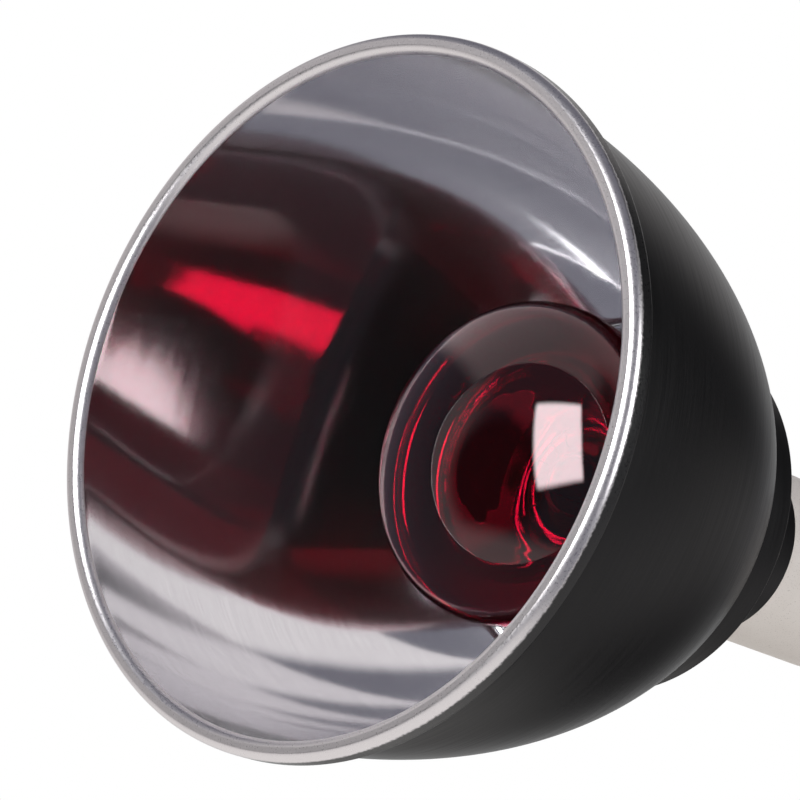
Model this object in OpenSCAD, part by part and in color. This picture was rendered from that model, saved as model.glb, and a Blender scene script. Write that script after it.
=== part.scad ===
// Dome lamp for a vivarium: a spun aluminium reflector, a stepped rear cap, a ceramic
// socket housing with a porcelain lampholder inside, and a screw-in reflector bulb.
// It stands on its rim: Z = 0 is the plane under the rolled rim and +Z is the axis, towards the socket.
// Lengths are in millimetres.

/* [Reflector] */
// Outer diameter over the rolled rim
rim_od = 203; // [190:0.5:230]
// Width of the rolled rim, across the roll
roll_w = 5.8; // [5:0.1:8]
// Height of the rolled rim
roll_h = 7.8; // [7:0.1:11]
// Radius on the two upper corners of the roll
roll_corner = 1.4; // [1:0.1:2]
// Depth worn flat under the roll, where the lamp stands
rim_flat = 0.12; // [0.05:0.01:0.3]
// Slit between the end of the roll and the wall
roll_slit = 0.35; // [0.2:0.05:0.8]
// Thickness of the spun sheet
sheet = 0.9; // [0.7:0.05:1.2]
// Height at which the elliptical wall would close on the axis
wall_depth = 155; // [140:1:175]
// Radius of the hole in the floor, for the bulb's neck
floor_hole_r = 26; // [25.5:0.5:30]

/* [Rear cap] */
// Outer radius of the stepped band
cap_r = 55.7; // [53:0.1:60]
// Height of the stepped band
cap_h = 10.8; // [9.5:0.1:16]
// Thickness of the cap's sheet
cap_t = 1.0; // [0.8:0.1:1.4]
// Radius on the band's back edge
cap_corner = 1.6; // [1.5:0.1:3]
// Radius between the cap's flat back and its neck
neck_fillet = 6; // [4:0.5:8]
// Length of the neck above the band
neck_h = 41.2; // [25:0.5:55]
// Thickness of the steel mounting plate under the cap
plate_t = 1.2; // [1:0.1:2]
// Radius of the mounting plate
plate_r = 51; // [50:0.5:52]
// Radius at which the cap's screws stand
screw_ring_r = 45; // [43:0.5:46]
// How many screws hold the cap
screw_count = 3; // [3:1:6]
// Radius of the cap's screws
screw_r = 1.9; // [1.5:0.1:2.2]

/* [Socket housing] */
// Outer radius of the ceramic housing
housing_r = 27.7; // [27.3:0.1:29]
// Wall of the ceramic housing
housing_wall = 3.2; // [2.8:0.1:3.5]
// Length of the ceramic housing
housing_l = 110; // [104:1:130]
// Radius of the foot flange that the cap traps
foot_r = 33; // [31:0.5:34]
// Height of the ledge that the lampholder is pulled against, above the foot
ledge_h = 72.4; // [70:0.1:78]
// Thickness of the ledge
ledge_t = 4; // [3:0.5:6]
// Radius of the opening in the ledge, for the terminals
ledge_hole_r = 17.4; // [17:0.1:19]

/* [Lampholder] */
// Length of the porcelain body
holder_l = 51; // [48:1:54]
// Thickness of the porcelain between the cup and the terminals
holder_floor = 6.5; // [6:0.5:8]
// Radius of the mouth, for the bulb's neck
mouth_r = 17.6; // [17:0.1:19]
// Depth of the mouth before the screw shell
mouth_depth = 16; // [14:0.5:17]
// Inner radius of the screw shell
shell_r = 13.6; // [13.5:0.05:13.8]
// Thickness of the screw shell
shell_t = 0.6; // [0.4:0.05:0.8]
// Radius of the opening in the shell's end
shell_hole_r = 9.6; // [9.2:0.1:10]
// Thickness of the centre contact's strip
contact_t = 0.5; // [0.4:0.05:0.7]
// Width of the centre contact's strip
contact_w = 5; // [4:0.5:6]
// Height of the contact's pad over the cup's floor
contact_rise = 2.6; // [2.2:0.1:3]
// Radius of the contact rivets
rivet_r = 1.2; // [1:0.1:1.4]
// Width of the terminal straps
strap_w = 7; // [6:0.5:8]
// Thickness of the terminal straps
strap_t = 1; // [0.8:0.1:1.4]
// Height of the terminal blocks on the straps
block_h = 6; // [5:0.5:7]
// Width of the terminal blocks along the strap
block_w = 5; // [4.6:0.1:5.2]
// Radius of the terminal screws
terminal_screw_r = 1.3; // [1:0.1:1.5]

/* [End cap] */
// Height of the tapered end cap
end_h = 20; // [18:0.5:26]
// Radius of the end cap at its top
end_r = 23.2; // [22:0.1:25]
// Wall of the end cap
end_wall = 3; // [2.5:0.1:3.5]
// Radius on the end cap's top edge
end_corner = 2.4; // [1.5:0.1:3]
// Depth of the spigot that enters the housing
spigot_l = 5; // [3:0.5:8]
// Wall of the spigot
spigot_t = 2.4; // [2:0.1:3]
// Radius at which the two studs stand
stud_ring_r = 15; // [14.5:0.1:15.5]
// Radius of the studs
stud_r = 1.5; // [1.2:0.1:1.6]
// Depth of the studs in the porcelain
stud_seat = 5; // [4:0.5:5.5]
// Height of the nuts on the studs
nut_h = 2.5; // [2:0.1:3.5]
// Radius of the hole through the cord inlet bush
inlet_r = 3.6; // [3:0.1:4]
// Radius of the bush where it passes the end cap
bush_r = 6; // [5.6:0.1:6.4]
// Radius of the bush's outer flange
bush_flange_r = 8.5; // [8:0.1:9]
// Height of the bush above the end cap
bush_h = 5; // [3:0.5:8]
// Height of the cord clamp
clamp_h = 8; // [6:0.5:9]
// Half the width of the cord clamp
clamp_x = 11; // [10:0.5:12]
// Thickness of the cord clamp's bar
clamp_t = 3; // [2.5:0.1:3.5]
// Half the gap between the clamp's bar and its anvil
clamp_gap = 3.7; // [3.2:0.1:3.9]
// Radius of the clamp's screws
clamp_screw_r = 1.5; // [1.2:0.1:1.6]

/* [Hanger] */
// Radius of the hanger's steel wire
wire_r = 1.5; // [1.2:0.1:1.8]
// Height of the hanger above its pivots
hanger_l = 46; // [42:1:60]
// Radius of the hanger's two upper corners
hanger_corner = 14; // [8:0.5:18]
// Radius of the bend between the hanger's legs and pins
hanger_bend = 2.2; // [2:0.1:3]
// Height of the pivots above the end cap's foot
pivot_h = 9.5; // [9:0.5:11]
// Radius of the pivot bosses
boss_r = 4.5; // [4:0.1:5]
// How far the bosses reach past the end cap's largest radius
boss_reach = 0.2; // [0.1:0.1:1]
// How far the pins enter the bosses
pin_l = 6; // [5:0.5:7]

/* [Bulb] */
// Largest radius of the bulb
bulb_r = 47.5; // [45:0.5:50]
// Length of the bulb from its crown to its contact
bulb_l = 138; // [132:1:144]
// Height of the face, from the crown to the largest radius
face_h = 26; // [23:0.5:30]
// Radius of the shoulder between the face and the sides
shoulder_r = 15; // [12:0.5:18]
// Radius of the bulb's neck
neck_glass_r = 16.3; // [15.5:0.1:16.6]
// Length of the straight neck between the glass's sides and the metal cap
neck_l = 24; // [21:0.5:28]
// Thickness of the glass
glass_t = 1.1; // [0.8:0.1:1.5]
// Thickness of the mirror layer inside the glass
mirror_t = 0.4; // [0.3:0.1:0.6]
// Length of the metal cap, from its edge to the contact
cap_l = 28; // [26:0.5:29]
// Radius over the cap's thread
thread_r = 13.2; // [13:0.05:13.25]
// Pitch of the cap's thread
thread_pitch = 3.63; // [3.3:0.01:3.8]
// Thickness of the cap's sheet
cap_sheet = 0.5; // [0.4:0.05:0.6]
// Distance from the filament to the neck
filament_drop = 34; // [30:1:38]
// Radius of the filament's ring
filament_ring_r = 9; // [7:0.5:11]
// Radius of the coiled filament
filament_r = 0.6; // [0.4:0.1:0.8]
// Radius of the wires inside the bulb
lead_r = 0.5; // [0.4:0.05:0.6]

/* [Hidden] */
$fn = 96;

// Clearances
fit = 0.3; // sleeve in a bore, or one moving body beside another
snug = 0.1; // fastener or insert in its own hole
run = 0.05; // pivot pin in its boss
over = 1; // how far a cut reaches past the face that it opens

// Reflector
roll_r = roll_w / 2;
roll_c = rim_od / 2 - roll_r;
roll_z = roll_r - rim_flat;
wall_r = rim_od / 2 - roll_w + sheet;
wall_steps = 40;
floor_z = roll_z + wall_depth * sqrt(1 - pow(cap_r / wall_r, 2));

// Rear cap
plate_z = floor_z + plate_t;
cap_z = floor_z + cap_h;
neck_r = housing_r + fit + cap_t;
neck_z = cap_z + neck_h;
spacer_r = screw_r + 2;
rivet_spigot_r = screw_r + 0.6;
rivet_head_r = rivet_spigot_r + 1.1;
rivet_head_h = 0.9;
screw_head_r = screw_r * 1.9;
screw_head_h = screw_r * 1.15;
screw_bite = 5.5; // how far the screws enter the spacers
slot_w = 0.8; // driver slot in the cap's screws
small_slot_w = 0.7; // driver slot in the small screws
small_slot_h = 0.9;

// Socket housing and lampholder
bore_r = housing_r - housing_wall;
foot_h = cap_z - cap_t - plate_z - fit;
housing_z = plate_z + housing_l;
ledge_z = plate_z + ledge_h;
holder_r = bore_r - fit;
holder_z = ledge_z - holder_l;
cup_z = ledge_z - holder_floor;
mouth_z = holder_z + mouth_depth;
shell_outer_r = shell_r + shell_t;
pad_z = cup_z - contact_rise;
tip_z = pad_z - fit;
rivet_head = 0.8; // height of a contact rivet's head
rivet_head_w = rivet_r + 0.9;
live_inset = 3.2; // from the opening in the shell's end to the live rivet
live_x = shell_hole_r - live_inset;
neutral_x = rivet_head_w + snug - shell_r;
strap_inset = 2; // from the ledge's opening to the end of a strap
strap_end = ledge_hole_r - strap_inset;
strap_start = 3.5; // half the gap between the two straps
strap_z = ledge_z + strap_t;
block_z = strap_z + block_h;
live_block_x = strap_end - block_w;
neutral_block_x = -(strap_start + block_w);
conductor_r = 1.4; // hole for a conductor through a terminal block
terminal_floor = 1; // brass left under a terminal screw's hole
contact_foot = 2.4; // from the live rivet to either end of the contact strip's foot
slope_end = 1.2; // where the contact strip's slope reaches the pad
terminal_head_h = 2;
terminal_head_r = terminal_screw_r + 1.1;

// End cap
end_z = housing_z + end_h;
end_slope = (housing_r - end_r) / end_h;
end_inner_z = end_z - end_wall;
nut_dome_h = 1.4; // rounded end of a nut
stud_over = 0.6; // how far the studs stand out of their nuts
stud_top_z = end_z + nut_h + stud_over;
nut_r = stud_r + 1.8;
bush_lip_r = bush_r + 1.2;
bush_lip_h = 1.5;
clamp_z = end_inner_z - bush_lip_h - clamp_h - fit;
anvil_t = 6; // thickness of the anvil that the clamp presses the cord against
blind_end = 1.5; // ceramic left at the end of a blind hole
clamp_screw_inset = 3.2; // from the clamp's end to its screw
clamp_screw_x = clamp_x - clamp_screw_inset;
clamp_head_h = 1.8;
clamp_head_r = clamp_screw_r + 1.2;

// Hanger
pivot_z = housing_z + pivot_h;
boss_x = housing_r + boss_reach;
leg_x = boss_x + fit + hanger_bend;
hanger_z = pivot_z + hanger_l;

// Bulb: distances from its crown turn into heights with crown_z
crown_z = tip_z - bulb_l;
cap_start = bulb_l - cap_l;
neck_from_crown = cap_start - neck_l;
tip_t = 1.4;
tip_r = 4.6;
insulator_h = 3.2;
insulator_start = bulb_l - tip_t - insulator_h - fit;
cap_end = insulator_start + insulator_h * 0.3;
insulator_r = 8.8;
thread_depth = 0.75;
cap_core_r = thread_r - thread_depth;
glass_end_r = cap_core_r - cap_sheet - snug;
glass_end = cap_start + 4;
taper_l = 8; // stretch over which the neck narrows into the cap
glass_lead = 0.5; // straight glass before the cap's edge
ring_r = 1.05;
thread_lead = 7.5; // plain stretch of the cap before its thread
thread_start = cap_start + thread_lead;
thread_rings = floor((cap_end - thread_start) / thread_pitch);
stem_reach = 16; // how far the stem stands out of the neck
stem_flare_l = 12; // stretch over which the stem widens to the neck
stem_top = neck_from_crown - stem_reach;
stem_r = 2.6;
stem_flare_r = glass_end_r - glass_t - snug;
filament_from_crown = neck_from_crown - filament_drop;
lead_gap_angle = 60; // angle between the filament's two ends
lead_rise = 4; // how far above the stem's end the leads leave it
support_rise = 1; // and the supports
support_r = lead_r * 0.7;
support_angles = [90, 180, 270];
filament_over = 3; // angle by which the filament passes each lead
mirror_from = 0.08; // where the mirror starts and ends, as shares of the glass's sides
mirror_to = 0.96;

// Points on an arc about [x, y], from angle a to angle b
function arc_points(x, y, r, a, b, n) =
    [for (i = [0:n]) let (t = a + (b - a) * i / n) [x + r * cos(t), y + r * sin(t)]];

// Radius of the reflector's elliptical wall at height z, inset by d
function wall_at(z, d) = (wall_r - d) * sqrt(1 - pow((z - roll_z) / (wall_depth - d), 2));

// Profile of the bulb's glass from its crown to its cap, inset by d: the face is one arc, the
// shoulder a second arc that meets it, and the sides run in a smooth S to the neck
function face_arc_r() =
    (pow(bulb_r - shoulder_r, 2) + pow(face_h, 2) - pow(shoulder_r, 2)) / (2 * (face_h - shoulder_r));
function shoulder_angle() = atan2(face_arc_r() - face_h, bulb_r - shoulder_r);
function side_r(t) =
    neck_glass_r + (bulb_r - neck_glass_r) * (0.5 + 0.5 * cos(180 * pow(t, 1.2)));
function glass_points(d) = concat(
    arc_points(0, face_arc_r(), face_arc_r() - d, -90, -shoulder_angle(), 12),
    arc_points(bulb_r - shoulder_r, face_h, shoulder_r - d, -shoulder_angle(), 0, 8),
    side_points(d, 0, 1),
    [[neck_glass_r - d, cap_start - taper_l],
     [glass_end_r - d, cap_start - glass_lead],
     [glass_end_r - d, glass_end]]);
function side_points(d, from, to) =
    [for (i = [1:20]) let (t = from + (to - from) * i / 20)
        [side_r(t) - d, face_h + (neck_from_crown - face_h) * t]];
function reversed(list) = [for (i = [len(list) - 1:-1:0]) list[i]];

// Helpers
module ring(r_out, r_in, h) {
    difference() {
        cylinder(r = r_out, h = h);
        translate([0, 0, -over]) cylinder(r = r_in, h = h + 2 * over);
    }
}
module around(count, r, start = 0) {
    for (i = [0:count - 1]) rotate(start + i * 360 / count) translate([r, 0, 0]) children();
}
module at_studs() {
    for (side = [-1, 1]) translate([0, side * stud_ring_r, 0]) children();
}

// Section of the rolled rim, inset by d
module roll_section(d) {
    corner = max(roll_corner - d, 0.4);
    translate([roll_c, roll_z]) circle(roll_r - d);
    translate([roll_c - roll_r + d, roll_z]) square([2 * (roll_r - d), roll_h - d - corner - roll_z]);
    translate([roll_c - roll_r + d + corner, roll_z])
        square([2 * (roll_r - d - corner), roll_h - d - roll_z]);
    for (side = [-1, 1])
        translate([roll_c + side * (roll_r - d - corner), roll_h - d - corner]) circle(corner);
}

// Section of the elliptical wall with its flat floor
module wall_section() {
    outer = [for (i = [0:wall_steps])
        let (z = roll_z + (floor_z - roll_z) * i / wall_steps) [wall_at(z, 0), z]];
    inner = [for (i = [0:wall_steps])
        let (z = roll_z + (floor_z - sheet - roll_z) * i / wall_steps) [wall_at(z, sheet), z]];
    polygon(concat(outer, [[floor_hole_r, floor_z], [floor_hole_r, floor_z - sheet]],
        reversed(inner)));
}

module dome_shell() {
    color([0.09, 0.09, 0.1]) difference() {
        rotate_extrude() {
            difference() {
                roll_section(0);
                roll_section(sheet);
                translate([0, -over]) square([roll_c + roll_r + over, over]);
                translate([wall_r - sheet - over, roll_h - sheet - roll_slit])
                    square([sheet + over + roll_slit, sheet + roll_slit + over]);
            }
            wall_section();
        }
        around(screw_count, screw_ring_r) translate([0, 0, floor_z - sheet - over])
            cylinder(r = screw_r + snug, h = sheet + 2 * over);
    }
}

module rim_wire() {
    color([0.6, 0.6, 0.62]) rotate_extrude()
        translate([roll_c, roll_z]) circle(roll_r - sheet - snug);
}

// Section of the rear cap, inset by d: a band, a flat back and a neck with a hollow fillet
module cap_section(d) {
    corner = max(cap_corner - d, 0.4);
    foot = d > 0 ? over : 0;
    translate([0, floor_z - foot]) square([cap_r - d - corner, cap_h - d + foot]);
    translate([0, floor_z - foot]) square([cap_r - d, cap_h - d - corner + foot]);
    translate([cap_r - d - corner, cap_z - d - corner]) circle(corner);
    translate([0, floor_z]) square([neck_r - d, cap_h + neck_h + foot]);
    difference() {
        translate([0, cap_z - d]) square([neck_r + neck_fillet, neck_fillet + d]);
        translate([neck_r + neck_fillet, cap_z + neck_fillet]) circle(neck_fillet + d);
    }
}

module rear_cap() {
    color([0.08, 0.08, 0.09]) difference() {
        rotate_extrude() difference() {
            cap_section(0);
            cap_section(cap_t);
        }
        around(screw_count, screw_ring_r) translate([0, 0, cap_z - cap_t - over])
            cylinder(r = rivet_spigot_r + snug, h = cap_t + 2 * over);
    }
}

module mounting_plate() {
    color([0.7, 0.7, 0.72]) translate([0, 0, floor_z]) difference() {
        ring(plate_r, floor_hole_r, plate_t);
        around(screw_count, screw_ring_r) translate([0, 0, -over])
            cylinder(r = screw_r + snug, h = plate_t + 2 * over);
    }
}

module cap_spacers() {
    color([0.75, 0.75, 0.77]) around(screw_count, screw_ring_r) difference() {
        union() {
            translate([0, 0, plate_z]) cylinder(r = spacer_r, h = cap_z - cap_t - plate_z, $fn = 6);
            translate([0, 0, cap_z - cap_t]) cylinder(r = rivet_spigot_r, h = cap_t);
            translate([0, 0, cap_z]) cylinder(r = rivet_head_r, h = rivet_head_h);
        }
        translate([0, 0, plate_z - over]) cylinder(r = screw_r + run, h = screw_bite + over + snug);
    }
}

module cap_screws() {
    head_z = floor_z - sheet - screw_head_h;
    color([0.8, 0.8, 0.82]) around(screw_count, screw_ring_r) difference() {
        union() {
            translate([0, 0, head_z]) cylinder(r = screw_head_r, h = screw_head_h);
            translate([0, 0, head_z]) cylinder(r = screw_r, h = plate_z + screw_bite - head_z);
        }
        translate([-screw_head_r, -slot_w / 2, head_z - over])
            cube([2 * screw_head_r, slot_w, over + screw_head_h / 2]);
    }
}

module socket_housing() {
    color([0.8, 0.77, 0.72]) difference() {
        union() {
            translate([0, 0, plate_z]) cylinder(r = foot_r, h = foot_h);
            translate([0, 0, plate_z]) cylinder(r = housing_r, h = housing_l);
        }
        translate([0, 0, plate_z - over]) cylinder(r = bore_r, h = ledge_h + over);
        translate([0, 0, ledge_z - over]) cylinder(r = ledge_hole_r, h = ledge_t + 2 * over);
        translate([0, 0, ledge_z + ledge_t]) cylinder(r = bore_r, h = housing_l);
    }
}

module lampholder_body() {
    color([0.93, 0.92, 0.89]) difference() {
        translate([0, 0, holder_z]) cylinder(r = holder_r, h = holder_l);
        translate([0, 0, holder_z - over]) cylinder(r = mouth_r, h = mouth_depth + over);
        translate([0, 0, holder_z]) cylinder(r = shell_outer_r + snug, h = cup_z - holder_z);
        for (x = [live_x, neutral_x]) translate([x, 0, cup_z - over])
            cylinder(r = rivet_r + snug, h = holder_floor + 2 * over);
        at_studs() translate([0, 0, ledge_z - stud_seat])
            cylinder(r = stud_r + snug, h = stud_seat + over);
    }
}

module screw_shell() {
    color([0.8, 0.72, 0.5]) difference() {
        translate([0, 0, mouth_z]) cylinder(r = shell_outer_r, h = cup_z - mouth_z);
        translate([0, 0, mouth_z - over]) cylinder(r = shell_r, h = cup_z - mouth_z - shell_t + over);
        translate([0, 0, mouth_z]) cylinder(r = shell_hole_r, h = cup_z - mouth_z + over);
        translate([neutral_x, 0, cup_z - shell_t - over]) cylinder(r = rivet_r + snug, h = 3 * over);
    }
}

// Spring strip: a foot on the cup's floor, a slope, and a pad in front of the bulb's contact
module centre_contact() {
    foot_start = live_x - contact_foot;
    foot_end = live_x + contact_foot;
    color([0.72, 0.45, 0.25]) difference() {
        translate([0, contact_w / 2, 0]) rotate([90, 0, 0]) linear_extrude(contact_w)
            polygon([[foot_end, cup_z], [foot_end, cup_z - contact_t],
                [foot_start + contact_t / 2, cup_z - contact_t], [slope_end, pad_z],
                [-contact_w / 2, pad_z], [-contact_w / 2, pad_z + contact_t],
                [slope_end - contact_t * 0.8, pad_z + contact_t], [foot_start, cup_z]]);
        translate([live_x, 0, cup_z - over]) cylinder(r = rivet_r + snug, h = 2 * over);
    }
}

module rivet(x, start_z) {
    translate([x, 0, start_z - rivet_head]) cylinder(r = rivet_head_w, h = rivet_head);
    translate([x, 0, start_z - rivet_head]) cylinder(r = rivet_r, h = strap_z + 2 * rivet_head - start_z);
    translate([x, 0, strap_z]) cylinder(r = rivet_head_w, h = rivet_head);
}

module contact_rivets() {
    color([0.75, 0.68, 0.45]) {
        rivet(live_x, cup_z - contact_t);
        rivet(neutral_x, cup_z - shell_t);
    }
}

// Strap under the ledge's opening, with a block that clamps one conductor
module terminal(start, end, block_x, rivet_x) {
    difference() {
        union() {
            translate([start, -strap_w / 2, ledge_z]) cube([end - start, strap_w, strap_t]);
            translate([block_x, -strap_w / 2, ledge_z]) cube([block_w, strap_w, strap_t + block_h]);
        }
        translate([rivet_x, 0, ledge_z - over]) cylinder(r = rivet_r + snug, h = strap_t + 2 * over);
        translate([block_x + block_w / 2, 0, strap_z + terminal_floor])
            cylinder(r = terminal_screw_r + run, h = block_h + over);
        translate([block_x + block_w / 2, -strap_w, strap_z + block_h / 3]) rotate([-90, 0, 0])
            cylinder(r = conductor_r, h = 2 * strap_w);
    }
}

module live_terminal() {
    color([0.78, 0.66, 0.35]) terminal(strap_start, strap_end, live_block_x, live_x);
}

module neutral_terminal() {
    color([0.78, 0.66, 0.35]) terminal(-strap_end, -strap_start, neutral_block_x, neutral_x);
}

module terminal_screws() {
    shank = block_h / 2;
    color([0.8, 0.8, 0.82]) for (x = [live_block_x, neutral_block_x])
        translate([x + block_w / 2, 0, 0]) difference() {
            union() {
                translate([0, 0, block_z - shank]) cylinder(r = terminal_screw_r, h = shank);
                translate([0, 0, block_z]) cylinder(r = terminal_head_r, h = terminal_head_h);
            }
            translate([-terminal_head_r, -small_slot_w / 2, block_z + terminal_head_h / 2])
                cube([2 * terminal_head_r, small_slot_w, terminal_head_h]);
        }
}

module holder_studs() {
    color([0.78, 0.78, 0.8]) at_studs() translate([0, 0, ledge_z - stud_seat])
        cylinder(r = stud_r, h = stud_top_z - ledge_z + stud_seat);
}

// Tapered cover with a spigot, two pivot bosses and an anvil for the cord clamp
module end_cap() {
    top_r = end_r - end_corner;
    color([0.8, 0.77, 0.72]) difference() {
        union() {
            rotate_extrude() difference() {
                union() {
                    polygon([[0, housing_z], [housing_r, housing_z],
                        [end_r + end_slope * end_corner, end_z - end_corner], [0, end_z - end_corner]]);
                    translate([0, end_z - end_corner - snug]) square([top_r, end_corner + snug]);
                    translate([top_r, end_z - end_corner]) circle(end_corner);
                }
                polygon([[0, housing_z - over], [housing_r - end_wall + end_slope * over, housing_z - over],
                    [housing_r - end_wall - end_slope * (end_h - end_wall), end_inner_z],
                    [0, end_inner_z]]);
            }
            translate([0, 0, housing_z - spigot_l])
                ring(bore_r - fit, bore_r - fit - spigot_t, spigot_l + end_wall);
            translate([0, 0, housing_z]) ring(housing_r - end_wall / 2, bore_r - fit - spigot_t, end_wall);
            for (side = [0, 180]) rotate(side) translate([boss_x, 0, pivot_z]) rotate([0, -90, 0])
                cylinder(r = boss_r, h = pin_l + blind_end);
            translate([-clamp_x, -clamp_gap - anvil_t, clamp_z])
                cube([2 * clamp_x, anvil_t, end_inner_z - clamp_z + snug]);
        }
        translate([0, 0, end_inner_z - over]) cylinder(r = bush_r + snug, h = end_wall + 2 * over);
        translate([0, 0, end_inner_z - bush_lip_h - fit])
            cylinder(r = bush_lip_r + fit, h = bush_lip_h + fit);
        at_studs() translate([0, 0, end_inner_z - over])
            cylinder(r = stud_r + snug, h = end_wall + 2 * over);
        for (side = [0, 180]) rotate(side) translate([boss_x + over, 0, pivot_z]) rotate([0, -90, 0])
            cylinder(r = wire_r + run, h = pin_l + over + fit);
        for (x = [-clamp_screw_x, clamp_screw_x]) translate([x, -clamp_gap + over, clamp_z + clamp_h / 2])
            rotate([90, 0, 0]) cylinder(r = clamp_screw_r + run, h = anvil_t - blind_end + over);
    }
}

module end_nuts() {
    color([0.8, 0.8, 0.82]) at_studs() translate([0, 0, end_z]) difference() {
        union() {
            cylinder(r = nut_r, h = nut_h, $fn = 6);
            translate([0, 0, nut_h]) cylinder(r1 = nut_r * 0.8, r2 = stud_r + 0.5, h = nut_dome_h);
        }
        translate([0, 0, -over]) cylinder(r = stud_r + run, h = over + nut_h + nut_dome_h / 2);
    }
}

module cord_bush() {
    color([0.1, 0.1, 0.1]) difference() {
        union() {
            translate([0, 0, end_inner_z - bush_lip_h]) cylinder(r = bush_lip_r, h = bush_lip_h);
            translate([0, 0, end_inner_z]) cylinder(r = bush_r, h = end_wall + bush_h);
            translate([0, 0, end_z]) cylinder(r = bush_flange_r, h = bush_h / 2);
        }
        translate([0, 0, end_inner_z - bush_lip_h - over])
            cylinder(r = inlet_r, h = bush_lip_h + end_wall + bush_h + 2 * over);
    }
}

module cord_clamp() {
    color([0.15, 0.15, 0.16]) difference() {
        translate([-clamp_x, clamp_gap, clamp_z]) cube([2 * clamp_x, clamp_t, clamp_h]);
        for (x = [-clamp_screw_x, clamp_screw_x])
            translate([x, clamp_gap + clamp_t + over, clamp_z + clamp_h / 2]) rotate([90, 0, 0])
                cylinder(r = clamp_screw_r + snug, h = clamp_t + 2 * over);
    }
}

module cord_clamp_screws() {
    head_y = clamp_gap + clamp_t;
    color([0.8, 0.8, 0.82]) for (x = [-clamp_screw_x, clamp_screw_x])
        translate([x, head_y + clamp_head_h, clamp_z + clamp_h / 2]) rotate([90, 0, 0]) difference() {
            union() {
                cylinder(r = clamp_head_r, h = clamp_head_h);
                cylinder(r = clamp_screw_r,
                    h = clamp_head_h + clamp_t + 2 * clamp_gap + anvil_t - blind_end - fit);
            }
            translate([-clamp_head_r, -small_slot_w / 2, -over])
                cube([2 * clamp_head_r, small_slot_w, over + small_slot_h]);
        }
}

// Wire hanger: two pins, two legs and a bar, joined by round bends
module hanger_half() {
    bar_x = leg_x - hanger_corner;
    leg_start = pivot_z + hanger_bend;
    leg_end = hanger_z - hanger_corner;
    translate([boss_x - pin_l, 0, pivot_z]) rotate([0, 90, 0])
        cylinder(r = wire_r, h = leg_x - hanger_bend - boss_x + pin_l);
    translate([leg_x - hanger_bend, 0, leg_start]) rotate([90, 0, 0]) rotate(-90)
        rotate_extrude(angle = 90) translate([hanger_bend, 0]) circle(wire_r);
    translate([leg_x, 0, leg_start]) cylinder(r = wire_r, h = leg_end - leg_start);
    translate([bar_x, 0, leg_end]) rotate([90, 0, 0])
        rotate_extrude(angle = 90) translate([hanger_corner, 0]) circle(wire_r);
    translate([0, 0, hanger_z]) rotate([0, 90, 0]) cylinder(r = wire_r, h = bar_x);
}

module hanger_bail() {
    color([0.72, 0.72, 0.74]) {
        hanger_half();
        mirror([1, 0, 0]) hanger_half();
    }
}

module bulb_glass() {
    color([0.4, 0.02, 0.04, 0.85]) translate([0, 0, crown_z]) rotate_extrude()
        polygon(concat(glass_points(0), reversed(glass_points(glass_t))));
}

// Mirror layer on the inside of the glass, from the shoulder to the neck
module bulb_mirror() {
    skin = glass_t + snug / 2;
    color([0.75, 0.75, 0.77]) translate([0, 0, crown_z]) rotate_extrude()
        polygon(concat(side_points(skin, mirror_from, mirror_to),
            reversed(side_points(skin + mirror_t, mirror_from, mirror_to))));
}

module bulb_cap() {
    color([0.78, 0.76, 0.68]) translate([0, 0, crown_z]) rotate_extrude() difference() {
        union() {
            translate([0, cap_start]) square([cap_core_r, cap_end - cap_start]);
            for (i = [0:thread_rings - 1])
                translate([thread_r - ring_r, thread_start + (i + 0.5) * thread_pitch]) circle(ring_r);
        }
        translate([0, cap_start - over])
            square([cap_core_r - cap_sheet, cap_end - cap_start - cap_sheet + over]);
        translate([0, cap_start]) square([insulator_r + fit, cap_end - cap_start + over]);
    }
}

module cap_insulator() {
    color([0.06, 0.06, 0.07]) translate([0, 0, crown_z + insulator_start])
        cylinder(r1 = insulator_r, r2 = tip_r + 0.8, h = insulator_h);
}

module cap_contact() {
    color([0.72, 0.7, 0.66]) translate([0, 0, crown_z + insulator_start + insulator_h])
        cylinder(r1 = tip_r, r2 = tip_r - 1, h = tip_t + fit);
}

module glass_stem() {
    color([0.8, 0.85, 0.85, 0.6]) translate([0, 0, crown_z]) rotate_extrude()
        polygon([[0, stem_top], [stem_r, stem_top], [stem_r, cap_start - stem_flare_l],
            [stem_flare_r, cap_start - glass_lead], [stem_flare_r, glass_end], [0, glass_end]]);
}

module lead_wires() {
    foot = stem_top + lead_rise;
    length = foot - filament_from_crown;
    color([0.7, 0.7, 0.72]) for (side = [-1, 1]) rotate(side * lead_gap_angle / 2) {
        translate([filament_ring_r, 0, crown_z + filament_from_crown + filament_r + snug])
            cylinder(r = lead_r, h = length - filament_r - snug);
        translate([stem_r + snug, 0, crown_z + foot - lead_r]) rotate([0, 90, 0])
            cylinder(r = lead_r, h = filament_ring_r - stem_r - snug);
    }
}

module filament_supports() {
    color([0.7, 0.7, 0.72]) for (a = support_angles) rotate(a) {
        translate([filament_ring_r, 0, crown_z + filament_from_crown + filament_r + snug])
            cylinder(r = support_r, h = stem_top + support_rise - filament_from_crown - filament_r);
        translate([stem_r + snug, 0, crown_z + stem_top + support_rise]) rotate([0, 90, 0])
            cylinder(r = support_r, h = filament_ring_r - stem_r - snug);
    }
}

module filament() {
    color([0.45, 0.45, 0.46]) translate([0, 0, crown_z + filament_from_crown])
        rotate(lead_gap_angle / 2 - filament_over)
        rotate_extrude(angle = 360 - lead_gap_angle + 2 * filament_over)
            translate([filament_ring_r, 0]) circle(filament_r);
}

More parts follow.
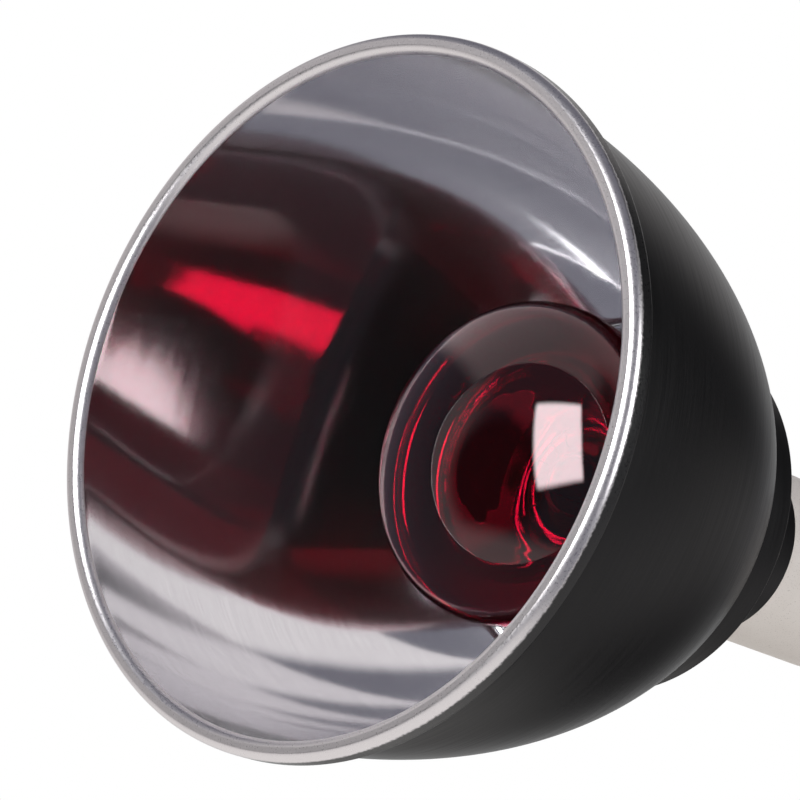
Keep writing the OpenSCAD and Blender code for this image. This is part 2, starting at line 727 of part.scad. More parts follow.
dome_shell();
rim_wire();
rear_cap();
mounting_plate();
cap_spacers();
cap_screws();
socket_housing();
lampholder_body();
screw_shell();
centre_contact();
contact_rivets();
live_terminal();
neutral_terminal();
terminal_screws();
holder_studs();
end_cap();
end_nuts();
cord_bush();
cord_clamp();
cord_clamp_screws();
hanger_bail();
bulb_glass();
bulb_mirror();
bulb_cap();
cap_insulator();
cap_contact();
glass_stem();
lead_wires();
filament_supports();
filament();
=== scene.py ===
"""Looks of the dome lamp: turned metal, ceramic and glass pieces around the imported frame."""
import math

import bmesh
import bpy
from mathutils import Matrix, Vector


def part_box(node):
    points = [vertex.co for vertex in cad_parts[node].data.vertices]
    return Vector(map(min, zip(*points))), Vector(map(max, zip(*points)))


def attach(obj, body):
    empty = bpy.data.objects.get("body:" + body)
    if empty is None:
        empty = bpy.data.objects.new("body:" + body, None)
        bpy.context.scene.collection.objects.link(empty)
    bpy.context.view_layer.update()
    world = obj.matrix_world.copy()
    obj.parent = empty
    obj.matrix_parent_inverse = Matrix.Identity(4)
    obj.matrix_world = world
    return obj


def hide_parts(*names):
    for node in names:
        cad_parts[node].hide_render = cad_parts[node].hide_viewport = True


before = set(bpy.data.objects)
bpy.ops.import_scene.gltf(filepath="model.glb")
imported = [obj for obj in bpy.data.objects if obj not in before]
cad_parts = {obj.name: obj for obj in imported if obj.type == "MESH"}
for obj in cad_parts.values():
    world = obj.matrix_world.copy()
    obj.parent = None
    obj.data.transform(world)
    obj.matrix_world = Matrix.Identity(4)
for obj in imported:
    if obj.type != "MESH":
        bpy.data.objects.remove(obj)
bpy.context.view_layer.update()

MM = 0.001

# Sizes that the frame gives


def radius_at(node, low, high):
    """Largest radius of a CAD node between two heights, in metres."""
    points = [v.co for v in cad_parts[node].data.vertices if low <= v.co.z <= high]
    return max(math.hypot(p.x, p.y) for p in points)


RIM_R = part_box("dome_shell")[1].x
FLOOR_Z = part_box("dome_shell")[1].z
CAP_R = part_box("rear_cap")[1].x
NECK_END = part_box("rear_cap")[1].z
NECK_R = radius_at("rear_cap", NECK_END - MM, NECK_END)
HOUSING_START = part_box("socket_housing")[0].z
HOUSING_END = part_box("socket_housing")[1].z
FOOT_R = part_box("socket_housing")[1].x
HOUSING_R = radius_at("socket_housing", HOUSING_END - MM, HOUSING_END)
LEDGE_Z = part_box("lampholder_body")[1].z
CROWN_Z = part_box("bulb_glass")[0].z
GLASS_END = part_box("bulb_glass")[1].z
BULB_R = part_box("bulb_glass")[1].x

# Sizes of the reflector that only the part's source has
SHEET = 0.9 * MM
ROLL_W = 5.8 * MM
ROLL_H = 7.8 * MM
ROLL_CORNER = 1.4 * MM
RIM_FLAT = 0.12 * MM
SLIT = 0.35 * MM
FLOOR_HOLE_R = 26 * MM

ROLL_R = ROLL_W / 2
ROLL_C = RIM_R - ROLL_R
ROLL_Z = ROLL_R - RIM_FLAT

# Helpers for materials

# Over most of a surface, noise lies between these values
SPREAD = {"From Min": 0.3, "From Max": 0.7}


def srgb(code):
    """Linear colour of an sRGB hex code."""
    shares = [int(code[i : i + 2], 16) / 255 for i in (1, 3, 5)]
    return [c / 12.92 if c <= 0.04045 else ((c + 0.055) / 1.055) ** 2.4 for c in shares] + [1.0]


def feed(tree, node, inputs):
    """Fills sockets of a node, by name or number: with a value, a hex colour, one output of another
    node, or a whole node, which stands for its first output."""
    for key, value in inputs.items():
        named = [s for s in node.inputs if s.name == key and s.enabled]
        socket = named[0] if named else node.inputs[key]
        if isinstance(value, bpy.types.Node):
            value = [s for s in value.outputs if s.enabled][0]
        if isinstance(value, bpy.types.NodeSocket):
            tree.links.new(value, socket)
        else:
            socket.default_value = srgb(value) if isinstance(value, str) else value


def add(tree, kind, inputs=None, **settings):
    """Adds a shader node with its settings, then its values and links."""
    node = tree.nodes.new("ShaderNode" + kind)
    for name, value in settings.items():
        setattr(node, name, value)
    feed(tree, node, inputs or {})
    return node


def surface(name, values):
    """A new material with plain values on its shader. It gives the material, its node tree, its
    shader, and the piece's own coordinates, which every pattern follows."""
    made = bpy.data.materials.new(name)
    made.use_nodes = True
    tree = made.node_tree
    shader = tree.nodes["Principled BSDF"]
    feed(tree, shader, values)
    return made, tree, shader, add(tree, "TexCoord").outputs["Object"]


def per_mm(size):
    """Pattern scale at which one cell is that many millimetres."""
    return 1 / (size * MM)


def from_axis(tree, x, y):
    """Distance of a point from the lamp's axis."""
    squares = [add(tree, "Math", {0: side, 1: side}, operation="MULTIPLY") for side in (x, y)]
    total = add(tree, "Math", {0: squares[0], 1: squares[1]}, operation="ADD")
    return add(tree, "Math", {0: total}, operation="SQRT")


def lathe_lines(tree, place, pitch, run, detail=3):
    """Noise in rings round the lamp's axis: tool marks that far apart and that long, in
    millimetres."""
    x, y, z = add(tree, "SeparateXYZ", {"Vector": place}).outputs
    slant = add(tree, "Math", {0: z, 1: from_axis(tree, x, y)}, operation="SUBTRACT")
    across = add(tree, "Math", {0: slant, 1: per_mm(pitch)}, operation="MULTIPLY")
    along = [add(tree, "Math", {0: v, 1: per_mm(run)}, operation="MULTIPLY") for v in (x, y)]
    rings = add(tree, "CombineXYZ", {"X": along[0], "Y": along[1], "Z": across})
    return add(tree, "TexNoise", {"Vector": rings, "Scale": 1.0, "Detail": detail})


def mottled(name, colours, rough, clouds, relief, depth, values, sheen=None):
    """A material whose colour, gloss and relief vary a little over the piece. clouds, relief and
    sheen each give a noise: its cell in millimetres and its detail. The colour follows the clouds,
    and so does the gloss where it has no sheen of its own. rough is the least and most roughness,
    depth the relief's height in millimetres, and values are plain ones on the shader."""
    made, tree, shader, place = surface(name, values)
    tone, gloss, grain = (
        add(tree, "TexNoise", {"Vector": place, "Scale": per_mm(cell), "Detail": detail})
        for cell, detail in (clouds, sheen or clouds, relief)
    )
    feed(tree, shader, {
        "Base Color": add(tree, "Mix", {"Factor": tone, "A": colours[0], "B": colours[1]},
                          data_type="RGBA"),
        "Roughness": add(tree, "MapRange",
                         {"Value": gloss, **SPREAD, "To Min": rough[0], "To Max": rough[1]},
                         interpolation_type="SMOOTHSTEP"),
        "Normal": add(tree, "Bump", {"Height": grain, "Distance": depth * MM}),
    })
    return made


def small_metal(name, colours, rough, cell=1.2, depth=0.006):
    """A small metal part: cloudy brightness, and the fine scratches of making it. Those are about
    0.1 mm apart and are drawn at 0.4 mm to show."""
    return mottled(name, colours, rough, clouds=(cell, 4), relief=(0.4, 3), depth=depth,
                   values={"Metallic": 1.0})


# Materials of the big turned pieces


def polished_aluminium():
    """Spun aluminium, polished and clear anodised: a near mirror, softened by fine lathe rings and
    a slightly milky oxide skin."""
    made, tree, shader, place = surface("polished_spun_aluminium", {
        "Metallic": 1.0, "Anisotropic": 0.3, "Anisotropic Rotation": 0.25,
        "Coat Weight": 0.5, "Coat IOR": 1.6, "Coat Roughness": 0.4,
    })
    # The polish leaves rings 0.1 mm apart; they are drawn 0.5 mm apart to show
    rings = lathe_lines(tree, place, pitch=0.5, run=22)
    # The spinning roller leaves slow waves 9 mm long and about a hundredth of a millimetre deep
    waves = lathe_lines(tree, place, pitch=9, run=60, detail=1)
    tone = add(tree, "MapRange", {"Value": rings, "From Min": 0.35, "From Max": 0.7},
               interpolation_type="SMOOTHSTEP")
    rough = add(tree, "MapRange", {"Value": rings, "From Min": 0.3, "From Max": 0.75,
                                   "To Min": 0.05, "To Max": 0.08},
                interpolation_type="SMOOTHSTEP")
    grooves = add(tree, "Bump", {"Height": rings, "Distance": 0.0006 * MM})
    feed(tree, shader, {
        "Base Color": add(tree, "Mix", {"Factor": tone, "A": "#EFEEF0", "B": "#F6F5F7"},
                          data_type="RGBA"),
        "Roughness": rough,
        "Normal": add(tree, "Bump", {"Height": waves, "Distance": 0.012 * MM, "Normal": grooves}),
        "Tangent": add(tree, "Tangent", direction_type="RADIAL", axis="Z"),
    })
    return made


# How high on the roll the black coat has worn away, from all of it to none, and how ragged its
# edge is
COAT_EDGE = (2.1 * MM, 3.3 * MM)
COAT_CHIPS = 1.6 * MM
# Half the width over which the coat starts at the roll's middle
FLANK_BLEND = 0.3 * MM


def worn_rolled_edge():
    """The rolled edge: satin aluminium where handling and standing wore the black coat off, and
    the coat itself up the outer flank."""
    made, tree, shader, place = surface("worn_rolled_edge", {})
    x, y, z = add(tree, "SeparateXYZ", {"Vector": place}).outputs
    # Chips are about 1 mm, and rubbed metal has a grain of 0.1 mm, drawn coarser to show
    chips, tone, gloss, grain = (
        add(tree, "TexNoise", {"Vector": place, "Scale": per_mm(cell), "Detail": detail})
        for cell, detail in ((0.9, 4), (0.4, 3), (0.5, 3), (0.35, 3))
    )
    centred = add(tree, "Math", {0: chips, 1: 0.5}, operation="SUBTRACT")
    ragged = add(tree, "Math", {0: centred, 1: COAT_CHIPS}, operation="MULTIPLY")
    height = add(tree, "Math", {0: z, 1: ragged}, operation="ADD")
    up = add(tree, "MapRange", {"Value": height, "From Min": COAT_EDGE[0],
                                "From Max": COAT_EDGE[1]}, interpolation_type="SMOOTHSTEP")
    outer = add(tree, "MapRange", {"Value": from_axis(tree, x, y),
                                   "From Min": ROLL_C - FLANK_BLEND,
                                   "From Max": ROLL_C + FLANK_BLEND},
                interpolation_type="SMOOTHSTEP")
    coat = add(tree, "Math", {0: up, 1: outer}, operation="MULTIPLY")
    metal = add(tree, "Mix", {"Factor": tone, "A": "#D6D2D4", "B": "#E2DFE0"}, data_type="RGBA")
    feed(tree, shader, {
        "Base Color": add(tree, "Mix", {"Factor": coat, "A": metal, "B": "#0E0E0F"},
                          data_type="RGBA"),
        "Metallic": add(tree, "Math", {0: 1.0, 1: coat}, operation="SUBTRACT"),
        "Roughness": add(tree, "MapRange",
                         {"Value": gloss, **SPREAD, "To Min": 0.27, "To Max": 0.38},
                         interpolation_type="SMOOTHSTEP"),
        "Normal": add(tree, "Bump", {"Height": grain, "Distance": 0.0022 * MM}),
    })
    return made


def black_anodised(name):
    """Black dyed anodised aluminium: a dark satin skin with faint lathe rings in its sheen and a
    little dust. The rings are 0.2 mm apart and are drawn at 0.6 mm to show."""
    made, tree, shader, place = surface(name, {"Specular IOR Level": 0.25})
    rings = lathe_lines(tree, place, pitch=0.6, run=30)
    dust = add(tree, "TexNoise", {"Vector": place, "Scale": per_mm(0.5), "Detail": 4})
    grey = add(tree, "MapRange", {"Value": dust, "From Min": 0.4, "From Max": 0.75},
               interpolation_type="SMOOTHSTEP")
    grit = add(tree, "Math", {0: dust, 1: 0.8}, operation="MULTIPLY")
    relief = add(tree, "Math", {0: rings, 1: grit}, operation="ADD")
    feed(tree, shader, {
        "Base Color": add(tree, "Mix", {"Factor": grey, "A": "#0B0B0C", "B": "#141314"},
                          data_type="RGBA"),
        "Roughness": add(tree, "MapRange",
                         {"Value": rings, **SPREAD, "To Min": 0.34, "To Max": 0.42},
                         interpolation_type="SMOOTHSTEP"),
        "Normal": add(tree, "Bump", {"Height": relief, "Distance": 0.004 * MM}),
    })
    return made


def fired_ceramic():
    """Unglazed pale ceramic: matt, warm off-white, with fine dark specks of 0.2 to 0.5 mm."""
    made, tree, shader, place = surface("unglazed_ceramic", {"IOR": 1.5})
    spots = add(tree, "TexNoise", {"Vector": place, "Scale": per_mm(0.45), "Detail": 2,
                                   "Roughness": 0.7})
    cloud = add(tree, "TexNoise", {"Vector": place, "Scale": per_mm(7), "Detail": 3})
    grain = add(tree, "TexNoise", {"Vector": place, "Scale": per_mm(0.6), "Detail": 4})
    specks = add(tree, "MapRange", {"Value": spots, "From Min": 0.60, "From Max": 0.70},
                 interpolation_type="SMOOTHSTEP")
    faint = add(tree, "Math", {0: specks, 1: 0.55}, operation="MULTIPLY")
    body = add(tree, "Mix", {"Factor": cloud, "A": "#D3CCC4", "B": "#DDD7D0"}, data_type="RGBA")
    feed(tree, shader, {
        "Base Color": add(tree, "Mix", {"Factor": faint, "A": body, "B": "#8B8178"},
                          data_type="RGBA"),
        "Roughness": add(tree, "MapRange",
                         {"Value": cloud, **SPREAD, "To Min": 0.5, "To Max": 0.62},
                         interpolation_type="SMOOTHSTEP"),
        "Normal": add(tree, "Bump", {"Height": grain, "Distance": 0.02 * MM}),
    })
    return made


polished_inside = polished_aluminium()
worn_roll = worn_rolled_edge()
black_outside = black_anodised("black_anodised_aluminium")
black_cap = black_anodised("black_anodised_cap")
ceramic = fired_ceramic()

# Glazed porcelain: a white body under a clear gloss with a slight orange peel
porcelain = mottled("glazed_porcelain", ("#E6E2DA", "#EEEBE5"), rough=(0.22, 0.3),
                    clouds=(5, 3), sheen=(3, 2), relief=(4, 2), depth=0.03,
                    values={"Coat Weight": 0.6, "Coat Roughness": 0.08, "IOR": 1.5})
# Zinc plated steel: a cool grey, half bright
zinc = small_metal("zinc_plated_steel", ("#A9ABB0", "#C9CBCF"), rough=(0.24, 0.38))
# Drawn steel wire: an even grey with the long smooth gloss of the die
steel_wire = small_metal("drawn_steel_wire", ("#A4A4A6", "#BDBDBF"), rough=(0.2, 0.32), cell=2.5)
# Pressed brass: a soft yellow, a little dulled
brass = small_metal("pressed_brass", ("#B99A52", "#CDB06A"), rough=(0.24, 0.36))
# Rolled spring bronze: redder than the brass, and a little glossier
bronze = small_metal("spring_bronze", ("#A9724A", "#BC865C"), rough=(0.22, 0.32))
# Nickel plated brass: a warm bright grey
nickel = small_metal("nickel_plated_brass", ("#B4AFA4", "#C9C5BB"), rough=(0.18, 0.28))
# Tin solder, set from a drop: dull and uneven
solder = small_metal("tin_solder", ("#A5A5A4", "#C0C0BF"), rough=(0.3, 0.45), cell=0.8,
                     depth=0.03)
# Aluminium laid on glass as vapour: as smooth as the glass, so a clear mirror
mirror = small_metal("vapour_aluminium_mirror", ("#D5D5DA", "#DDDDE1"), rough=(0.03, 0.06),
                     cell=12, depth=0.0002)
# The back of that mirror, seen through red glass: dark and dull
mirror_back = small_metal("dull_back_of_mirror", ("#1C171B", "#262026"), rough=(0.5, 0.65),
                          cell=6)
# Drawn tungsten: dark grey, rough from the die
tungsten = small_metal("drawn_tungsten", ("#6E6C6A", "#85827F"), rough=(0.35, 0.5))
# Moulded black nylon: dull, with a fine spark-eroded grain
nylon = mottled("moulded_black_nylon", ("#121213", "#1D1D1E"), rough=(0.42, 0.55),
                clouds=(0.35, 3), relief=(0.35, 3), depth=0.02, values={"IOR": 1.53})
# Blown glass, dyed deep red: nearly black in thin room light, blood red where light passes it
ruby = mottled("ruby_blown_glass", ("#932345", "#9D284B"), rough=(0.0, 0.012),
               clouds=(30, 2), sheen=(14, 2), relief=(30, 2), depth=0.03,
               values={"Transmission Weight": 1.0, "IOR": 1.52})
# Drawn clear glass: a little green on edge, with slow drawing waves
clear = mottled("drawn_clear_glass", ("#E4EEE9", "#EEF4F1"), rough=(0.0, 0.03),
                clouds=(6, 2), relief=(6, 2), depth=0.03,
                values={"Transmission Weight": 1.0, "IOR": 1.52})
# Black glass poured into the bulb's cap: glossy, with flow marks
black_glass = mottled("cast_black_glass", ("#070708", "#121214"), rough=(0.1, 0.2),
                      clouds=(1.5, 3), relief=(1.5, 3), depth=0.03, values={"IOR": 1.55})


def wear(material, *names):
    """Gives CAD nodes, whose shape is right, their material."""
    for name in names:
        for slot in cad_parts[name].material_slots:
            slot.material = material


wear(zinc, "rim_wire", "mounting_plate", "cap_spacers", "cap_screws", "terminal_screws",
     "holder_studs", "end_nuts", "cord_clamp_screws")
wear(steel_wire, "hanger_bail")
wear(porcelain, "lampholder_body")
wear(ceramic, "end_cap")
wear(brass, "screw_shell", "contact_rivets", "live_terminal", "neutral_terminal")
wear(bronze, "centre_contact")
wear(nylon, "cord_bush", "cord_clamp")
wear(nickel, "bulb_cap")
wear(black_glass, "cap_insulator")
wear(solder, "cap_contact")
wear(clear, "glass_stem")
wear(tungsten, "lead_wires", "filament_supports", "filament")

# Helpers for shapes

TURN_STEPS = 288
CORNER_STEPS = 8
MERGE_WITHIN = 0.0005 * MM
SHARP_ANGLE = math.radians(32)


def arc(r, z, radius, start, end, steps):
    """Points on an arc about (r, z), from one angle to another, in degrees."""
    turns = [math.radians(start + (end - start) * i / steps) for i in range(steps + 1)]
    return [(r + radius * math.cos(t), z + radius * math.sin(t)) for t in turns]


def rounded(a, corner, b, reach):
    """Points of a soft corner, from the line towards a to the line towards b, at that reach."""
    a, corner, b = (Vector(p) for p in (a, corner, b))
    start = corner + (a - corner).normalized() * reach
    end = corner + (b - corner).normalized() * reach
    shares = [i / CORNER_STEPS for i in range(CORNER_STEPS + 1)]
    points = [start * (1 - t) ** 2 + corner * 2 * t * (1 - t) + end * t * t for t in shares]
    return [tuple(p) for p in points]


def soften(mesh):
    """Merges points on the axis, turns the faces outwards and shades all but sharp edges smooth."""
    work = bmesh.new()
    work.from_mesh(mesh)
    bmesh.ops.remove_doubles(work, verts=work.verts, dist=MERGE_WITHIN)
    bmesh.ops.recalc_face_normals(work, faces=work.faces)
    work.to_mesh(mesh)
    work.free()
    mesh.polygons.foreach_set("use_smooth", [True] * len(mesh.polygons))
    mesh.set_sharp_from_angle(angle=SHARP_ANGLE)


def turned(name, outline, body, marks=None):
    """A turned piece: a closed outline of (radius, height) points swept round the Z axis. marks
    gives each stretch of the outline the number of its material."""
    count = len(outline)
    turns = [2 * math.pi * i / TURN_STEPS for i in range(TURN_STEPS)]
    points = [(r * math.cos(t), r * math.sin(t), z) for t in turns for r, z in outline]
    faces = []
    for i in range(TURN_STEPS):
        here, there = i * count, (i + 1) % TURN_STEPS * count
        for a in range(count):
            b = (a + 1) % count
            faces.append((here + a, there + a, there + b, here + b))
    mesh = bpy.data.meshes.new(name)
    mesh.from_pydata(points, [], faces)
    if marks:
        mesh.polygons.foreach_set("material_index", marks * TURN_STEPS)
    soften(mesh)
    piece = bpy.data.objects.new(name, mesh)
    bpy.context.scene.collection.objects.link(piece)
    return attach(piece, body)


def dress(piece, *materials):
    """Gives a piece its materials, in the order of its marks."""
    for material in materials:
        piece.data.materials.append(material)


# Reflector

WALL_R = RIM_R - ROLL_W + SHEET
WALL_DEPTH = (FLOOR_Z - ROLL_Z) / math.sqrt(1 - (CAP_R / WALL_R) ** 2)
WALL_STEPS = 110
INNER_CORNER = 2.2 * MM
OUTER_CORNER = 1.2 * MM
# The wall's points stop this far short of its soft corner
CORNER_GAP = 0.2 * MM
ROLL_LIP = 0.3 * MM
INSIDE, ROLL, OUTSIDE = 0, 1, 2


def wall(inset, low, floor, reach):
    """Points up the elliptical wall, inset from its outer face, from one height to the floor's,
    and round a soft corner there."""
    width, depth = WALL_R - inset, WALL_DEPTH - inset
    start, end = (math.asin((z - ROLL_Z) / depth) for z in (low, floor))
    turns = [start + (end - start) * i / WALL_STEPS for i in range(WALL_STEPS + 1)]
    side = [(width * math.cos(t), ROLL_Z + depth * math.sin(t)) for t in turns]
    # The wall's direction at the corner is the one of its last three steps
    corner = rounded(side[-4], side[-1], (0, floor), reach)
    return [p for p in side if p[1] < corner[0][1] - CORNER_GAP] + corner


def reflector():
    """The spun dome: a polished inside, the worn roll that it stands on, and a black outside."""
    floor = FLOOR_Z - SHEET
    inner = [(FLOOR_HOLE_R, floor)] + wall(SHEET, ROLL_Z, floor, INNER_CORNER)[::-1]
    slit_r = WALL_R + SLIT
    slit_z = ROLL_H - SHEET - SLIT
    roll = [(r, max(z, 0)) for r, z in arc(ROLL_C, ROLL_Z, ROLL_R, 180, 360, steps=60)][1:]
    roll += arc(RIM_R - ROLL_CORNER, ROLL_H - ROLL_CORNER, ROLL_CORNER, 0, 90, steps=10)
    roll += arc(slit_r + ROLL_LIP, ROLL_H - ROLL_LIP, ROLL_LIP, 90, 180, steps=6)
    roll += [(slit_r, slit_z)]
    outer = wall(0, slit_z, FLOOR_Z, OUTER_CORNER) + [(FLOOR_HOLE_R, FLOOR_Z)]
    marks = [INSIDE] * len(inner) + [ROLL] * len(roll) + [OUTSIDE] * len(outer)
    piece = turned("reflector", inner + roll + outer, "fixture", marks)
    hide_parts("dome_shell")
    dress(piece, polished_inside, worn_roll, black_outside)


reflector()

# Rear cap

CAP_H = 10.8 * MM
CAP_T = 1.0 * MM
CAP_CORNER = 1.6 * MM
NECK_FILLET = 6 * MM
NECK_LIP = 0.3 * MM


def rear_cap():
    """A band, a flat back and a neck that leaves it in a hollow curve."""
    back = FLOOR_Z + CAP_H
    corner = (CAP_R - CAP_CORNER, back - CAP_CORNER)
    fillet = (NECK_R + NECK_FILLET, back + NECK_FILLET)
    outer = [(CAP_R, FLOOR_Z)] + arc(*corner, CAP_CORNER, 0, 90, steps=14)
    outer += arc(*fillet, NECK_FILLET, 270, 180, steps=28)
    outer += arc(NECK_R - NECK_LIP, NECK_END - NECK_LIP, NECK_LIP, 0, 90, steps=6)
    inner = [(NECK_R - CAP_T, NECK_END)]
    inner += arc(*fillet, NECK_FILLET + CAP_T, 180, 270, steps=28)
    inner += arc(*corner, CAP_CORNER - CAP_T, 90, 0, steps=8) + [(CAP_R - CAP_T, FLOOR_Z)]
    piece = turned("rear_cap_spun", outer + inner, "fixture")
    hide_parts("rear_cap")
    dress(piece, black_cap)


rear_cap()

# Socket housing

HOUSING_WALL = 3.2 * MM
HOUSING_EDGE = 0.7 * MM
LEDGE_T = 4 * MM
LEDGE_HOLE_R = 17.4 * MM
FOOT_H = 8.3 * MM


def housing():
    """A plain ceramic sleeve on a foot flange, with a ledge inside and softened edges."""
    bore = HOUSING_R - HOUSING_WALL
    foot_top = HOUSING_START + FOOT_H
    soft = HOUSING_EDGE
    outline = [(bore, HOUSING_START)]
    outline += arc(FOOT_R - soft, HOUSING_START + soft, soft, -90, 0, steps=6)
    outline += arc(FOOT_R - soft, foot_top - soft, soft, 0, 90, steps=6)
    outline += [(HOUSING_R, foot_top)]
    outline += arc(HOUSING_R - soft, HOUSING_END - soft, soft, 0, 90, steps=8)
    outline += arc(bore + soft, HOUSING_END - soft, soft, 90, 180, steps=8)
    outline += [(bore, LEDGE_Z + LEDGE_T), (LEDGE_HOLE_R, LEDGE_Z + LEDGE_T),
                (LEDGE_HOLE_R, LEDGE_Z), (bore, LEDGE_Z)]
    piece = turned("ceramic_sleeve", outline, "fixture")
    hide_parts("socket_housing")
    dress(piece, ceramic)


housing()

# Bulb

FACE_H = 26 * MM
SHOULDER_R = 15 * MM
NECK_GLASS_R = 16.3 * MM
NECK_FROM_CROWN = 86 * MM
GLASS_T = 1.1 * MM
CAP_START = 110 * MM
TAPER_L = 8 * MM
GLASS_LEAD = 0.5 * MM
GLASS_END_R = 11.85 * MM
SIDE_STEPS = 40
SIDE_LEAN = 1.2


def glass_line(inset):
    """Outline of the bulb from its crown to its metal cap: a face arc, a shoulder arc, an S down
    the side and a neck."""
    reach = BULB_R - SHOULDER_R
    face_r = (reach**2 + FACE_H**2 - SHOULDER_R**2) / (2 * (FACE_H - SHOULDER_R))
    meet = math.degrees(math.atan2(face_r - FACE_H, reach))
    face = arc(0, CROWN_Z + face_r, face_r - inset, -90, -meet, steps=48)
    shoulder = arc(reach, CROWN_Z + FACE_H, SHOULDER_R - inset, -meet, 0, steps=24)
    side = []
    for i in range(1, SIDE_STEPS + 1):
        t = i / SIDE_STEPS
        swell = 0.5 + 0.5 * math.cos(math.pi * t**SIDE_LEAN)
        radius = NECK_GLASS_R + (BULB_R - NECK_GLASS_R) * swell
        side.append((radius - inset, CROWN_Z + FACE_H + (NECK_FROM_CROWN - FACE_H) * t))
    neck = [
        (NECK_GLASS_R - inset, CROWN_Z + CAP_START - TAPER_L),
        (GLASS_END_R - inset, CROWN_Z + CAP_START - GLASS_LEAD),
        (GLASS_END_R - inset, GLASS_END),
    ]
    return face + shoulder[1:] + side + neck


def envelope():
    """The bulb's red glass, blown thin."""
    piece = turned("bulb_envelope", glass_line(0) + glass_line(GLASS_T)[::-1], "bulb")
    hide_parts("bulb_glass")
    dress(piece, ruby)


envelope()

# The mirror bowl inside the glass: (distance from the crown, radius) in millimetres
BOWL = [(26.2, 46.2), (28.7, 44.0), (30.7, 33.6), (34.7, 33.0), (38.7, 29.4), (42.7, 24.3),
        (46.7, 19.8), (52.7, 15.9), (58.7, 15.0)]
BOWL_STEPS = 12
BOWL_T = 0.4 * MM
FRONT, BACK = 0, 1


def bowl_line():
    """The bowl's section as a smooth line through its points."""
    ends = [BOWL[0]] + BOWL + [BOWL[-1]]
    line = []
    for a, b, c, d in zip(ends, ends[1:], ends[2:], ends[3:]):
        for i in range(BOWL_STEPS):
            t = i / BOWL_STEPS
            z, r = (0.5 * (2 * q + (s - p) * t + (2 * p - 5 * q + 4 * s - w) * t * t
                           + (3 * q - p - 3 * s + w) * t**3) for p, q, s, w in zip(a, b, c, d))
            line.append((r * MM, CROWN_Z + z * MM))
    return line + [(BOWL[-1][1] * MM, CROWN_Z + BOWL[-1][0] * MM)]


def mirror_bowl():
    """The bulb's mirror: bright towards the face and dull behind."""
    back = bowl_line()
    front = [(r - BOWL_T, z) for r, z in reversed(back)]
    marks = [BACK] * len(back) + [FRONT] * len(front)
    piece = turned("mirror_coat_inside", back + front, "bulb", marks)
    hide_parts("bulb_mirror")
    dress(piece, mirror, mirror_back)


mirror_bowl()

# Camera

CAMERA_AT = Vector((315.4, -581.84, -672.59)) * MM
CAMERA_AIM = Vector((8.6, -24.1, 0)) * MM
CAMERA_LENS = 157.5
CAMERA_CLIP = (0.05, 50)


def camera():
    """Looks up into the mouth from below, with the lamp's X axis running down the picture."""
    data = bpy.data.cameras.new("camera")
    data.lens = CAMERA_LENS
    data.clip_start, data.clip_end = CAMERA_CLIP
    ahead = (CAMERA_AIM - CAMERA_AT).normalized()
    right = Vector((1, 0, 0)).cross(ahead).normalized()
    up = right.cross(ahead)
    turn = Matrix((right, up, -ahead)).transposed().to_4x4()
    made = bpy.data.objects.new("camera", data)
    made.matrix_world = Matrix.Translation(CAMERA_AT) @ turn
    bpy.context.scene.collection.objects.link(made)
    bpy.context.scene.camera = made


camera()

# Studio: a grey room with a white backdrop, a pale table and darker and lighter sides, which only
# reflections and soft light see
ROOM = "#6C6C77"
# Each side: its colour, the degrees to the right and up of its middle, as seen from the lamp when
# it faces the camera, and the degrees from its middle where it starts to fade and where it ends
SIDES = [
    ("#D0CCCC", -120, 0, 35, 58),
    ("#18181A", 118, 12, 26, 44),
    ("#A6A3A2", 132, -24, 10, 26),
    ("#C8C4C4", 108, -45, 10, 30),
    ("#1C1C1E", 163, -38, 20, 34),
    ("#E0DCDC", 160, 22, 10, 24),
    ("#37373B", -60, 10, 20, 32),
]
# The table lies this far to the picture's right and up. It and the backdrop fade between two
# cosines from their middles.
TABLE = "#F6F3F1"
TABLE_RIGHT, TABLE_UP = -0.36, -0.933
TABLE_FADE = (0.46, 0.62)
BACKDROP = "#FFFFFF"
BACKDROP_FADE = (0.84, 0.97)
# Share of a softbox's width over which it fades at each edge
SOFTBOX_FADE = 0.1
# Light goes this often between the bulb and the polished bowl
MIRROR_BOUNCES = 9
FLOOR_REACH = 4.0


def facing(tree, way, middle, end, start):
    """How far a ray lies in a soft round patch of the studio: 0 past one cosine from the patch's
    middle, and 1 within the other."""
    cosine = add(tree, "VectorMath", {0: way, 1: middle.normalized()}, operation="DOT_PRODUCT")
    return add(tree, "MapRange", {"Value": cosine, "From Min": end, "From Max": start},
               interpolation_type="SMOOTHSTEP")


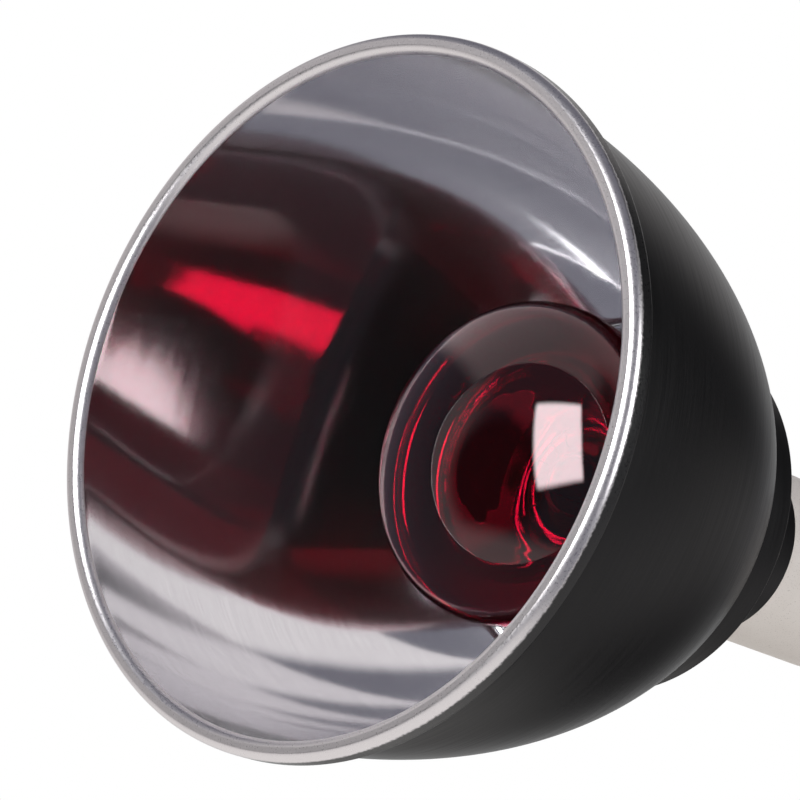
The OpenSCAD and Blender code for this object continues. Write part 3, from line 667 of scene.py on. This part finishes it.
def studio():
    """The room as the world's colour. Rays from the camera see white alone, and mirrors and glass
    see white where the backdrop is."""
    scene = bpy.context.scene
    scene.world = bpy.data.worlds.new("studio")
    scene.world.use_nodes = True
    tree = scene.world.node_tree
    tree.nodes.clear()
    right, up, back = scene.camera.matrix_world.to_3x3().col
    way = add(tree, "TexCoord").outputs["Generated"]
    room = ROOM
    for code, *degrees in SIDES:
        aside, rise, inner, outer = (math.radians(a) for a in degrees)
        level = right * math.sin(aside) + back * math.cos(aside)
        middle = level * math.cos(rise) + up * math.sin(rise)
        share = facing(tree, way, middle, math.cos(outer), math.cos(inner))
        room = add(tree, "Mix", {"Factor": share, "A": room, "B": code}, data_type="RGBA")
    table = facing(tree, way, right * TABLE_RIGHT + up * TABLE_UP, *TABLE_FADE)
    room = add(tree, "Mix", {"Factor": table, "A": room, "B": TABLE}, data_type="RGBA")
    path = add(tree, "LightPath").outputs
    shiny = add(tree, "Math", {0: path["Is Glossy Ray"], 1: path["Is Transmission Ray"]},
                operation="ADD")
    shown = add(tree, "Math", {0: shiny, 1: facing(tree, way, -back, *BACKDROP_FADE)},
                operation="MULTIPLY")
    white = add(tree, "Math", {0: shown, 1: path["Is Camera Ray"]}, operation="MAXIMUM")
    colour = add(tree, "Mix", {"Factor": white, "A": room, "B": BACKDROP}, data_type="RGBA")
    light = add(tree, "Background", {"Color": colour, "Strength": 1.0})
    add(tree, "OutputWorld", {"Surface": light})


def softbox(name, middle, aim, size, turn, radiance):
    """A soft lamp that reflections see as a bright rectangle with faded edges."""
    data = bpy.data.lights.new(name, "AREA")
    data.shape = "RECTANGLE"
    data.size, data.size_y = size
    data.energy = radiance * math.pi * size[0] * size[1]
    data.use_nodes = True
    tree = data.node_tree
    tree.nodes.clear()
    # A place on the lamp runs from 0 to 1 each way, with its middle at 0.5
    across = add(tree, "NewGeometry").outputs["Parametric"]
    shares = []
    for place in add(tree, "SeparateXYZ", {"Vector": across}).outputs[:2]:
        off = add(tree, "Math", {0: place, 1: 0.5}, operation="SUBTRACT")
        off = add(tree, "Math", {0: off}, operation="ABSOLUTE")
        margin = add(tree, "Math", {0: 0.5, 1: off}, operation="SUBTRACT")
        shares.append(add(tree, "MapRange", {"Value": margin, "From Max": SOFTBOX_FADE},
                          interpolation_type="SMOOTHSTEP"))
    face = add(tree, "Math", {0: shares[0], 1: shares[1]}, operation="MULTIPLY")
    glow = add(tree, "Emission", {"Strength": face})
    add(tree, "OutputLight", {"Surface": glow})
    ahead = (Vector(aim) - Vector(middle)).to_track_quat("-Z", "Y").to_matrix().to_4x4()
    made = bpy.data.objects.new(name, data)
    made.matrix_world = (Matrix.Translation(middle) @ ahead
                         @ Matrix.Rotation(math.radians(turn), 4, "Z"))
    made.visible_camera = False
    bpy.context.scene.collection.objects.link(made)


def floor():
    """A pale floor under the rim. It shows, and takes the lamp's shadow, from above only."""
    mesh = bpy.data.meshes.new("floor")
    corners = [(-1, -1), (1, -1), (1, 1), (-1, 1)]
    mesh.from_pydata([(x * FLOOR_REACH, y * FLOOR_REACH, 0) for x, y in corners], [],
                     [(0, 1, 2, 3)])
    made = bpy.data.objects.new("floor", mesh)
    bpy.context.scene.collection.objects.link(made)
    made.visible_diffuse = made.visible_glossy = made.visible_transmission = False
    made.visible_shadow = False
    paint = bpy.data.materials.new("pale_floor")
    paint.use_nodes = True
    tree = paint.node_tree
    tree.nodes.clear()
    under = add(tree, "NewGeometry").outputs["Backfacing"]
    matt = add(tree, "BsdfDiffuse", {"Color": "#5A5958"})
    pale = add(tree, "Emission", {"Color": "#DAD9D7"})
    shown = add(tree, "AddShader", {0: matt, 1: pale})
    hidden = add(tree, "BsdfTransparent")
    both = add(tree, "MixShader", {0: under, 1: shown, 2: hidden})
    add(tree, "OutputMaterial", {"Surface": both})
    mesh.materials.append(paint)


bpy.context.scene.cycles.glossy_bounces = MIRROR_BOUNCES
studio()
softbox("key_softbox", middle=(-0.165, -0.25, -0.8), aim=(-0.165, -0.25, 0.0),
        size=(0.75, 0.43), turn=1, radiance=15)
softbox("side_softbox", middle=(0.1, -1.05, 0.35), aim=(0, 0, 0.17),
        size=(0.6, 0.6), turn=0, radiance=8)
floor()

bpy.context.scene.view_settings.view_transform = "Standard"
